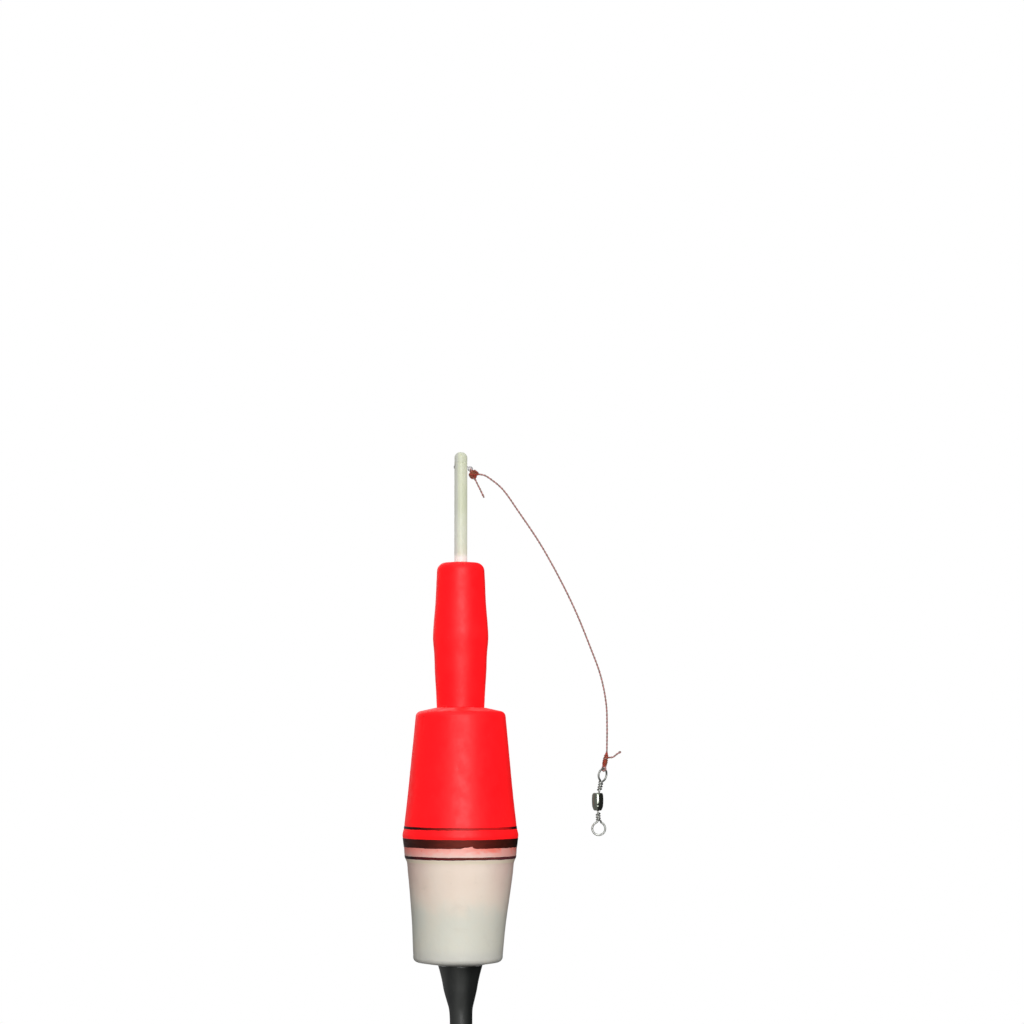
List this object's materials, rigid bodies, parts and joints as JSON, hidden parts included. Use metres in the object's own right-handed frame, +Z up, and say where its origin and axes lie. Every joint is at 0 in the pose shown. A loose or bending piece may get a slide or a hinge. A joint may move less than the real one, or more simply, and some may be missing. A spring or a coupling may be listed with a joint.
{
  "type": "bobber float",
  "caption": "Slim fishing float: turned foam body and neck on a core rod with a weighted keel, and a short leader ending in a barrel swivel.",
  "frame": {"origin": "on the float's own axis at its belt, where the body is widest and floats", "axes": "+Z up the float's axis towards the rod's tip; +X towards the side where the leader is tied; the leader hangs in the y = 0 plane"},
  "size_m": [0.0551, 0.0292, 0.1892],
  "materials": {
    "rod": "off-white translucent plastic tube, satin",
    "rod_cap": "off-white moulded plastic, satin",
    "eye_wire": "fine steel wire",
    "red_neck": "fluorescent red painted foam, satin",
    "red_body": "fluorescent red painted foam, satin",
    "white_body": "cream white painted foam, satin",
    "stripe": "thin dark pinstripe tape",
    "belt": "dark brown-black belt tape, worn at its lower edge",
    "keel": "black moulded plastic, semi-gloss",
    "keel_plug": "black moulded plastic, semi-gloss",
    "ballast": "dull cast lead",
    "cord": "two-ply twisted nylon leader cord, red and brown strands",
    "knot": "drawn-down knot of the same cord, sealed dark orange-red",
    "swivel_wire": "nickel-plated wire",
    "swivel_barrel": "nickel-plated turned barrel"
  },
  "bodies": {
    "float": {"core_rod": "rod", "rod_tip_cap": "rod_cap", "line_eye": "eye_wire", "neck_float": "red_neck", "upper_body": "red_body", "lower_body": "white_body", "stripe_upper": "stripe", "belt_band": "belt", "stripe_lower": "stripe", "keel_stem": "keel", "ballast_slug": "ballast", "keel_end_plug": "keel_plug"},
    "line_loop": {"top_loop": "cord"},
    "leader": {"top_knot": "knot", "top_tag": "cord", "leader_cord": "cord", "bottom_loop": "cord", "bottom_knot": "knot", "bottom_tag": "cord"},
    "upper_eye": {"swivel_upper_eye": "swivel_wire"},
    "barrel": {"swivel_barrel": "swivel_barrel"},
    "lower_eye": {"swivel_lower_eye": "swivel_wire"}
  },
  "joints": [
    {"name": "leader_swing", "type": "hinge", "parent": "float", "child": "line_loop", "pos_m": [0.0024, 0, 0.0929], "axis": [0, 1, 0], "range_deg": [-75, 10]},
    {"name": "leader_turn", "type": "hinge", "parent": "line_loop", "child": "leader", "pos_m": [0.00265, 0, 0.09247], "axis": [0.866, 0, 0.5], "range_deg": [-60, 60]},
    {"name": "swivel_tilt", "type": "hinge", "parent": "leader", "child": "upper_eye", "pos_m": [0.0361, 0, 0.01709], "axis": [0.6025, 0.788, -0.1266], "range_deg": [-45, 45]},
    {"name": "barrel_spin", "type": "hinge", "parent": "upper_eye", "child": "barrel", "pos_m": [0.03453, 0, 0.0088], "axis": [0, 0, 1], "continuous": true},
    {"name": "lower_eye_spin", "type": "hinge", "parent": "barrel", "child": "lower_eye", "pos_m": [0.03453, 0, 0.00795], "axis": [0, 0, 1], "continuous": true}
  ]
}
